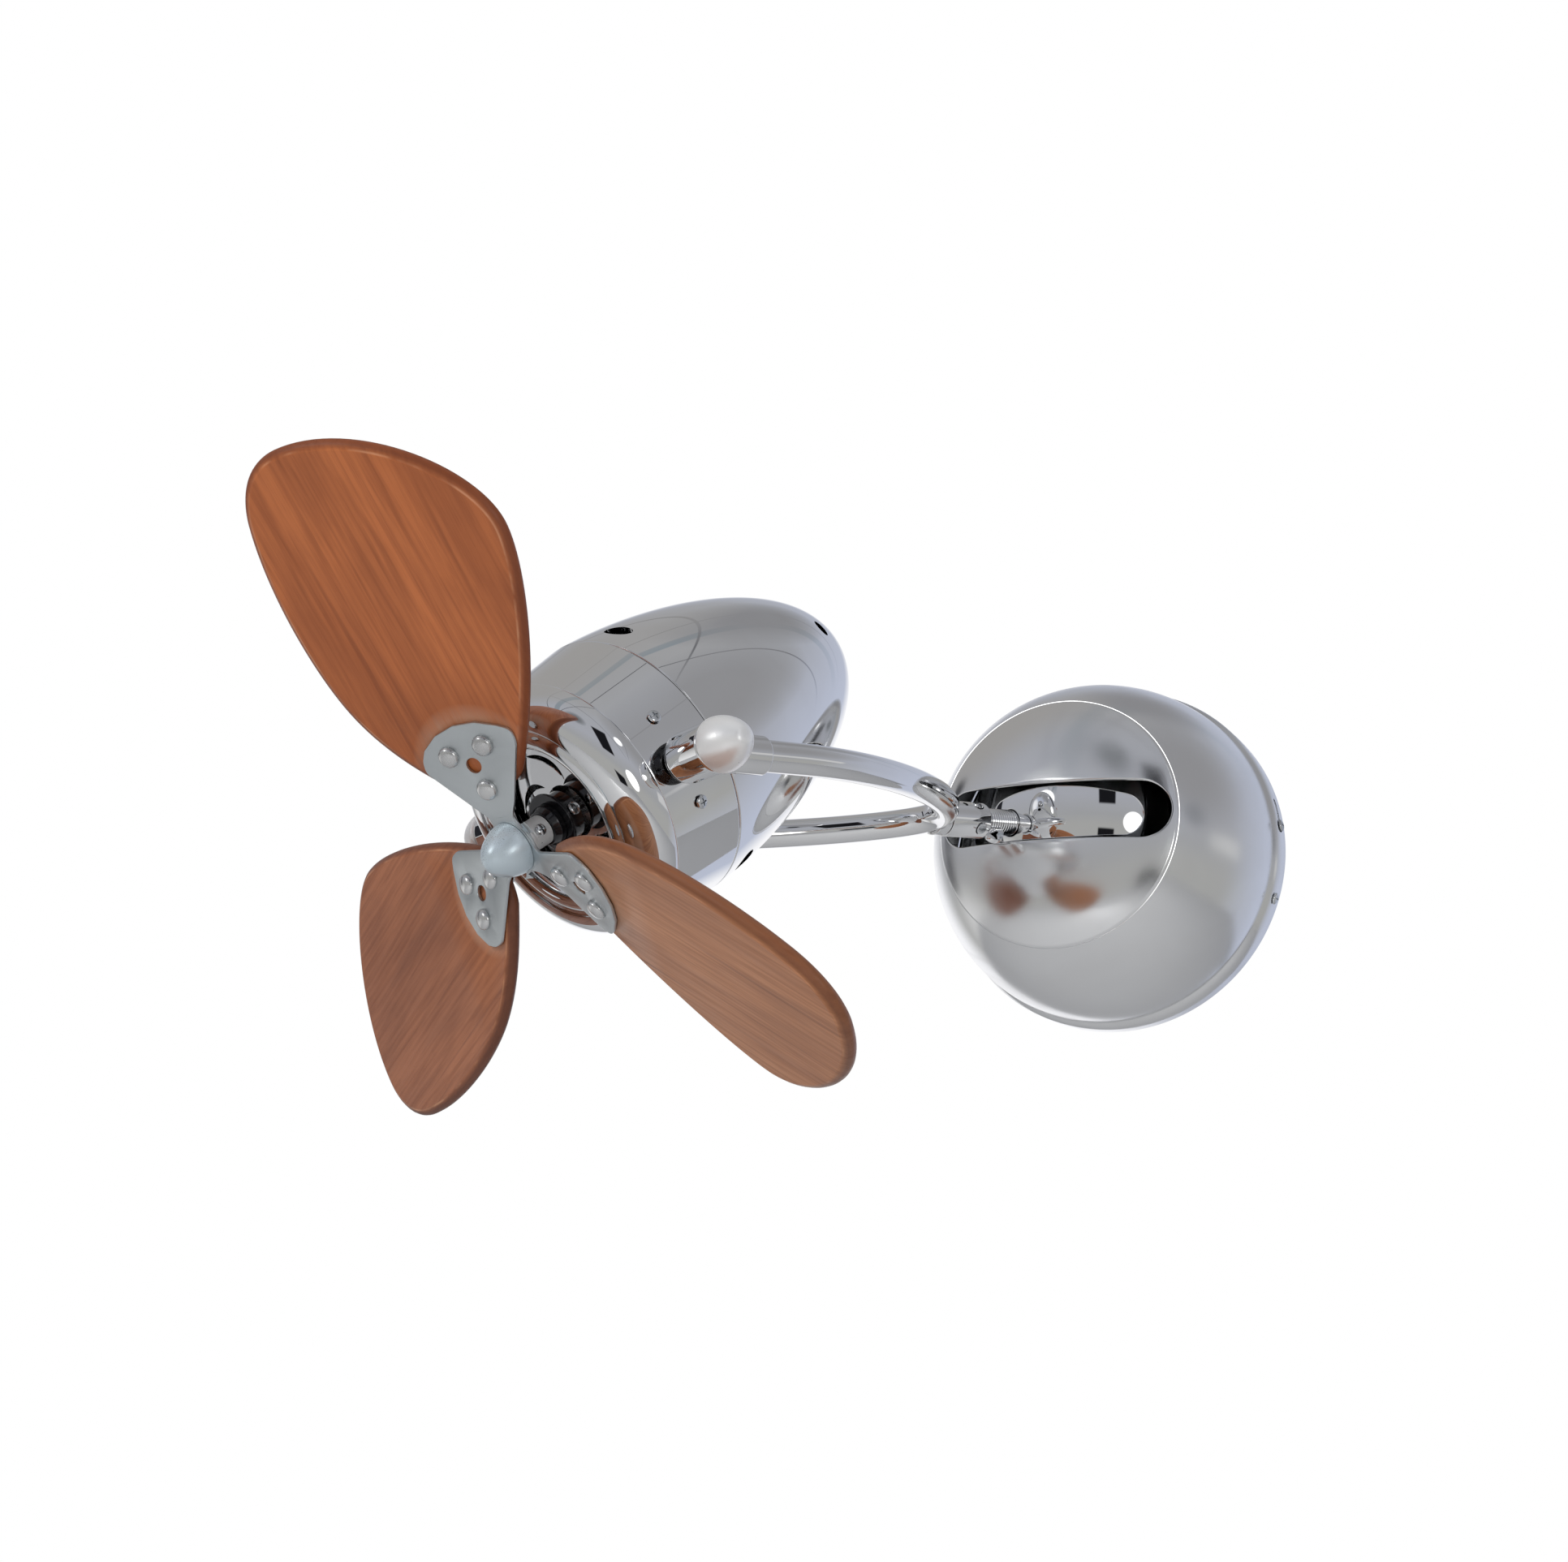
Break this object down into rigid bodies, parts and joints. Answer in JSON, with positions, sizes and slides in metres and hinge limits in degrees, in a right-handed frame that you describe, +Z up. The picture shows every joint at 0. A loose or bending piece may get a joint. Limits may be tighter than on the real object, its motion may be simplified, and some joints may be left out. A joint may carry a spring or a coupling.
{
  "type": "wall fan with wooden blades",
  "caption": "Wall-mounted swivel fan: polished canopy with a jointed arm, a tube yoke, an egg-shaped tilting motor head and wooden paddle blades.",
  "frame": {"origin": "centre of the wall plate's back face, in the plane of the wall", "axes": "+Y into the wall, +X to the right seen from the room, +Z up"},
  "size_m": [0.3324, 0.4425, 0.2383],
  "materials": {
    "polished_chrome": "bright polished chrome plate on steel",
    "satin_nickel": "pearly satin nickel plate",
    "satin_aluminium": "matt satin grey-blue aluminium",
    "zinc_steel": "zinc-plated steel",
    "black_oxide": "glossy black",
    "lacquered_wood": "reddish-brown wood, satin lacquer, straight grain along the blade",
    "copper_wire": "enamelled copper wire",
    "laminated_steel": "stacked electrical steel",
    "bright_steel": "bright drawn steel",
    "white_plastic": "moulded plastic"
  },
  "bodies": {
    "wall": {"wall_plate": "zinc_steel", "canopy_shell": "polished_chrome", "swivel_bracket": "zinc_steel", "pivot_bolt": "zinc_steel", "pivot_nut": "zinc_steel", "wall_screw_left": "zinc_steel", "wall_screw_right": "zinc_steel", "terminal_block": "white_plastic", "canopy_screw_1": "zinc_steel", "canopy_screw_2": "zinc_steel"},
    "arm": {"swivel_shield": "polished_chrome", "arm_stem": "polished_chrome"},
    "wing_nut": {"wing_nut": "polished_chrome"},
    "yoke": {"swivel_sleeve": "polished_chrome", "sleeve_set_screw": "zinc_steel", "yoke_collar": "polished_chrome", "yoke_tube": "polished_chrome", "pivot_boss_right": "polished_chrome", "pivot_boss_left": "polished_chrome"},
    "right_knob": {"tilt_knob_right": "satin_nickel"},
    "left_knob": {"tilt_knob_left": "satin_nickel"},
    "head": {"front_band": "polished_chrome", "rear_dome": "polished_chrome", "bezel": "polished_chrome", "vent_plate": "polished_chrome", "tilt_stud_right": "black_oxide", "tilt_stud_left": "black_oxide", "stator_core": "laminated_steel", "winding_front": "copper_wire", "winding_rear": "copper_wire", "front_bracket": "bright_steel", "rear_bracket": "bright_steel", "front_bearing": "bright_steel", "rear_bearing": "bright_steel", "band_screw_1": "zinc_steel", "band_screw_2": "zinc_steel", "band_screw_3": "zinc_steel", "band_screw_4": "zinc_steel"},
    "rotor": {"motor_shaft": "bright_steel", "rotor_core": "laminated_steel", "shaft_collar": "black_oxide", "collar_screw": "zinc_steel", "flinger_disc": "black_oxide", "hub_collar": "black_oxide", "hub_adaptor": "satin_nickel", "adaptor_screw": "zinc_steel", "blade_spider": "satin_aluminium", "spinner": "satin_aluminium", "blade_1": "lacquered_wood", "blade_2": "lacquered_wood", "blade_3": "lacquered_wood", "rivet_1_1": "bright_steel", "rivet_1_2": "bright_steel", "rivet_1_3": "bright_steel", "rivet_2_1": "bright_steel", "rivet_2_2": "bright_steel", "rivet_2_3": "bright_steel", "rivet_3_1": "bright_steel", "rivet_3_2": "bright_steel", "rivet_3_3": "bright_steel"}
  },
  "joints": [
    {"name": "arm_swing", "type": "hinge", "parent": "wall", "child": "arm", "pos_m": [0, -0.03, 0.0091], "axis": [0, 0, 1], "range_deg": [-9, 52]},
    {"name": "wing_nut_turn", "type": "hinge", "parent": "arm", "child": "wing_nut", "pos_m": [-0.02493, -0.09233, -0.00177], "axis": [-0.3666, -0.9165, -0.1599], "continuous": true},
    {"name": "yoke_roll", "type": "hinge", "parent": "arm", "child": "yoke", "pos_m": [-0.03226, -0.11066, -0.00497], "axis": [-0.3666, -0.9165, -0.1599], "range_deg": [-90, 90]},
    {"name": "head_tilt", "type": "hinge", "parent": "yoke", "child": "head", "pos_m": [-0.10327, -0.28819, -0.03594], "axis": [0.9231, -0.3797, 0.0603], "range_deg": [-90, 30]},
    {"name": "right_knob_turn", "type": "hinge", "parent": "yoke", "child": "right_knob", "pos_m": [-0.02573, -0.32009, -0.03088], "axis": [0.9231, -0.3797, 0.0603], "continuous": true},
    {"name": "left_knob_turn", "type": "hinge", "parent": "yoke", "child": "left_knob", "pos_m": [-0.18081, -0.25629, -0.041], "axis": [-0.9231, 0.3797, -0.0603], "continuous": true},
    {"name": "rotor_spin", "type": "hinge", "parent": "head", "child": "rotor", "pos_m": [-0.11511, -0.32163, -0.06522], "axis": [-0.2575, -0.727, -0.6365], "continuous": true}
  ]
}
